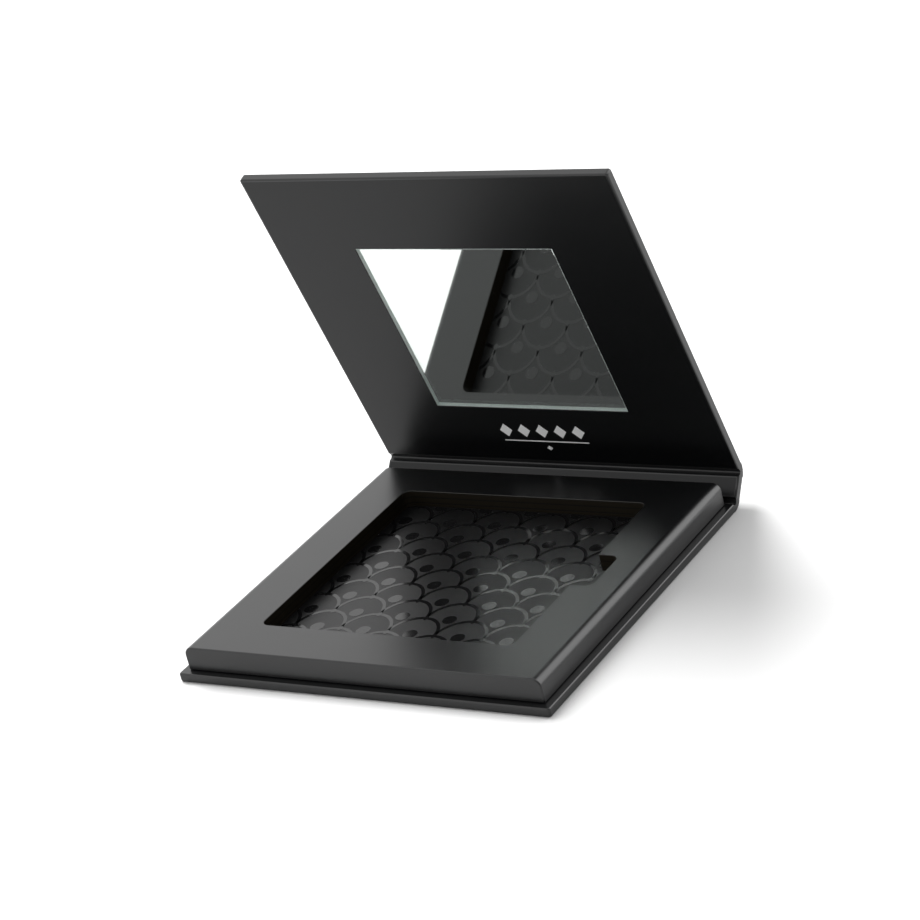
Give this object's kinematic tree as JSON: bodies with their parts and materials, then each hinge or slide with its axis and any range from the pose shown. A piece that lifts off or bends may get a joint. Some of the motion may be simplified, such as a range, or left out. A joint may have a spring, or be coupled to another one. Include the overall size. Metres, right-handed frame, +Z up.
{
  "type": "magnetic make-up palette",
  "caption": "Book-bound make-up palette in black soft-touch board, with a mirror in its folding lid and a square magnetic well with a scallop pattern.",
  "frame": {"origin": "centre of the base board's underside, on the table", "axes": "+Z up from the table, +Y towards the spine and its creases, +X to the right of someone who faces the open palette"},
  "size_m": [0.1132, 0.1137, 0.1098],
  "materials": {
    "black_paper": "soft-touch laminated black paper",
    "lining_paper": "soft-touch laminated black lining paper",
    "hinge_paper": "creased black paper",
    "greyboard": "uncoated grey bookbinder's board",
    "brown_board": "dark brown cut board",
    "adhesive": "double-sided tape",
    "magnet": "nickel-plated disc magnet",
    "magnetic_sheet": "flexible magnetic sheet",
    "pattern_card": "matt black card with a spot-gloss scallop pattern",
    "foil": "hot-stamped silver foil",
    "silvering": "silvered and painted back of the mirror",
    "mirror_glass": "clear glass with ground edges"
  },
  "bodies": {
    "base": {"base_board": "greyboard", "base_wrap": "black_paper", "base_lining": "lining_paper", "tray_adhesive": "adhesive", "tray_floor_board": "brown_board", "tray_frame_lower": "brown_board", "tray_frame_middle": "brown_board", "tray_frame_upper": "brown_board", "tray_wrap": "black_paper", "tray_magnets": "magnet", "magnetic_sheet": "magnetic_sheet", "pattern_card": "pattern_card"},
    "spine": {"base_crease": "hinge_paper", "spine_board": "greyboard", "spine_wrap": "black_paper", "spine_lining": "lining_paper"},
    "lid": {"lid_crease": "hinge_paper", "lid_board": "greyboard", "lid_frame_board": "greyboard", "lid_wrap": "black_paper", "lid_lining": "lining_paper", "lid_magnets": "magnet", "lid_ornament": "foil", "mirror_adhesive": "adhesive", "mirror_silvering": "silvering", "mirror_glass": "mirror_glass"}
  },
  "joints": [
    {"name": "spine_fold", "type": "hinge", "parent": "base", "child": "spine", "pos_m": [0, 0.054, 0.00125], "axis": [-1, 0, 0], "range_deg": [-40, 50]},
    {"name": "lid_fold", "type": "hinge", "parent": "spine", "child": "lid", "pos_m": [0, 0.05998, 0.00837], "axis": [-1, 0, 0], "range_deg": [-31.6, 58.4]}
  ]
}
